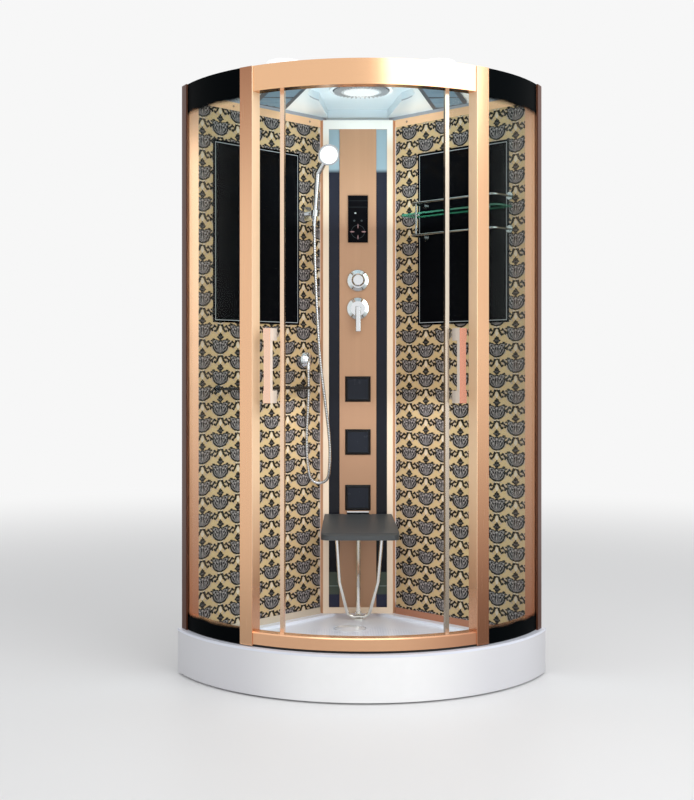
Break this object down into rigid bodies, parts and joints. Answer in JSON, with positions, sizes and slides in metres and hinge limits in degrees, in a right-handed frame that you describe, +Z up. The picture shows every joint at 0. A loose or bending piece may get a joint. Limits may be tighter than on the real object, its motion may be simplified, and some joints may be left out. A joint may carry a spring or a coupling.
{
  "type": "hydromassage shower cabin",
  "caption": "Quadrant corner shower cabin with sliding curved glass doors, damask back walls, plumbing column with jets, hand shower, shelf and fold-up seat.",
  "frame": {"origin": "on the floor, in the middle of the cabin's bounding box", "axes": "+X to the right seen from the front, +Y to the back corner, +Z up; the curved front faces -Y"},
  "size_m": [1.2728, 1.0448, 2.131],
  "materials": {
    "white_acrylic": "glossy white sanitary acrylic",
    "rose_gold": "rose-gold anodised, satin",
    "clear_glass": "clear tempered glass",
    "patterned_panel": "damask print behind a glossy face",
    "black_glass": "black back-painted glass",
    "dark_mirror": "dark tinted mirror",
    "copper_sheet": "matte copper",
    "display_black": "black touch panel",
    "chrome": "polished chrome plate",
    "jet_black": "black moulded frame",
    "jet_slate": "dark slate face with nozzles",
    "seat_grey": "slate grey moulded plastic",
    "black_rubber": "black rubber",
    "zinc_steel": "zinc plated",
    "brass": "cast brass",
    "hose_grey": "reinforced hose",
    "nylon": "white nylon",
    "vent_grey": "grey moulded grille",
    "rain_grey": "chrome rain head",
    "trap_grey": "grey plastic"
  },
  "bodies": {
    "cabin": {"shower_tray": "white_acrylic", "front_apron": "white_acrylic", "roof_shell": "white_acrylic", "bottom_rail": "rose_gold", "header_rail": "rose_gold", "header_cover": "rose_gold", "door_posts": "rose_gold", "wall_profiles": "rose_gold", "wall_frames": "rose_gold", "column_frame": "rose_gold", "fixed_glass_left": "clear_glass", "fixed_glass_right": "clear_glass", "glass_shelf": "clear_glass", "back_panel_left": "patterned_panel", "back_panel_right": "patterned_panel", "dark_glass_panels": "black_glass", "column_mirrors": "dark_mirror", "column_panel": "copper_sheet", "touch_display": "display_black", "control_flanges": "chrome", "hose_outlet": "chrome", "handset_bracket": "chrome", "shower_hose": "chrome", "shelf_rails": "chrome", "seat_post": "chrome", "towel_bar": "chrome", "seat_hinge": "chrome", "jet_frames": "jet_black", "rail_gasket": "black_rubber", "door_stops": "black_rubber", "support_frame": "zinc_steel", "levelling_feet": "zinc_steel", "water_valve": "brass", "water_hoses": "hose_grey", "roof_frames": "vent_grey", "roof_inserts": "vent_grey", "rain_head": "rain_grey", "drain_trap": "trap_grey"},
    "door_left": {"door_glass_left": "clear_glass", "door_edge_left": "rose_gold", "handle_left": "rose_gold", "carriers_left": "chrome"},
    "door_right": {"door_glass_right": "clear_glass", "door_edge_right": "rose_gold", "handle_right": "rose_gold", "carriers_right": "chrome"},
    "roller_left_lead": {"roller_left_lead": "nylon"},
    "roller_left_trail": {"roller_left_trail": "nylon"},
    "roller_right_lead": {"roller_right_lead": "nylon"},
    "roller_right_trail": {"roller_right_trail": "nylon"},
    "drain_cover": {"drain_cover": "chrome"},
    "diverter_knob": {"diverter_knob": "chrome"},
    "mixer_hub": {"mixer_hub": "chrome"},
    "mixer_lever": {"mixer_lever": "chrome"},
    "jet_top": {"jet_plate_top": "jet_slate"},
    "jet_middle": {"jet_plate_middle": "jet_slate"},
    "jet_bottom": {"jet_plate_bottom": "jet_slate"},
    "handset": {"handset": "chrome"},
    "seat": {"seat": "seat_grey"},
    "seat_loop": {"seat_loop": "chrome"}
  },
  "joints": [
    {"name": "door_left_slide", "type": "hinge", "parent": "cabin", "child": "door_left", "pos_m": [0, 0.17758, 1], "axis": [0, 0, 1], "range_deg": [0, 23.9]},
    {"name": "roller_left_lead_spin", "type": "hinge", "parent": "door_left", "child": "roller_left_lead", "pos_m": [-0.3092, -0.3919, 1.9695], "axis": [-0.4772, -0.8788, 0], "range_deg": [-1564, 5]},
    {"name": "roller_left_trail_spin", "type": "hinge", "parent": "door_left", "child": "roller_left_trail", "pos_m": [-0.53911, -0.18196, 1.9695], "axis": [-0.832, -0.5548, 0], "range_deg": [-1564, 5]},
    {"name": "door_right_slide", "type": "hinge", "parent": "cabin", "child": "door_right", "pos_m": [0, 0.17758, 1], "axis": [0, 0, -1], "range_deg": [0, 23.9]},
    {"name": "roller_right_lead_spin", "type": "hinge", "parent": "door_right", "child": "roller_right_lead", "pos_m": [0.3092, -0.3919, 1.9695], "axis": [0.4772, -0.8788, 0], "range_deg": [-5, 1564]},
    {"name": "roller_right_trail_spin", "type": "hinge", "parent": "door_right", "child": "roller_right_trail", "pos_m": [0.53911, -0.18196, 1.9695], "axis": [0.832, -0.5548, 0], "range_deg": [-5, 1564]},
    {"name": "drain_cover_lift", "type": "slide", "parent": "cabin", "child": "drain_cover", "axis": [0, 0, 1], "range_m": [0, 0.03]},
    {"name": "diverter_turn", "type": "hinge", "parent": "cabin", "child": "diverter_knob", "pos_m": [0, 0.3, 1.388], "axis": [0, -1, 0], "range_deg": [-90, 90]},
    {"name": "mixer_turn", "type": "hinge", "parent": "cabin", "child": "mixer_hub", "pos_m": [0, 0.3, 1.281], "axis": [0, -1, 0], "range_deg": [-45, 45]},
    {"name": "mixer_lift", "type": "hinge", "parent": "mixer_hub", "child": "mixer_lever", "pos_m": [0, 0.3025, 1.281], "axis": [-1, 0, 0], "range_deg": [0, 25]},
    {"name": "jet_top_tilt", "type": "hinge", "parent": "cabin", "child": "jet_top", "pos_m": [0, 0.322, 0.974], "axis": [1, 0, 0], "range_deg": [-8, 8]},
    {"name": "jet_middle_tilt", "type": "hinge", "parent": "cabin", "child": "jet_middle", "pos_m": [0, 0.322, 0.772], "axis": [1, 0, 0], "range_deg": [-8, 8]},
    {"name": "jet_bottom_tilt", "type": "hinge", "parent": "cabin", "child": "jet_bottom", "pos_m": [0, 0.322, 0.56], "axis": [1, 0, 0], "range_deg": [-8, 8]},
    {"name": "handset_lift", "type": "slide", "parent": "cabin", "child": "handset", "axis": [0.0705, -0.1015, 0.9923], "range_m": [0, 0.06], "deforming": ["shower_hose"]},
    {"name": "seat_fold", "type": "hinge", "parent": "cabin", "child": "seat", "pos_m": [0, 0.306, 0.482], "axis": [-1, 0, 0], "range_deg": [0, 80]},
    {"name": "seat_loop_swing", "type": "hinge", "parent": "seat", "child": "seat_loop", "pos_m": [0, 0.15, 0.446], "axis": [-1, 0, 0], "range_deg": [-61, 1]}
  ],
  "couplings": [
    {"joint": "roller_left_lead_spin", "follows": "door_left_slide", "ratio": -64.8},
    {"joint": "roller_left_trail_spin", "follows": "door_left_slide", "ratio": -64.8},
    {"joint": "roller_right_lead_spin", "follows": "door_right_slide", "ratio": 64.8},
    {"joint": "roller_right_trail_spin", "follows": "door_right_slide", "ratio": 64.8},
    {"joint": "seat_loop_swing", "follows": "seat_fold", "ratio": -0.75}
  ]
}
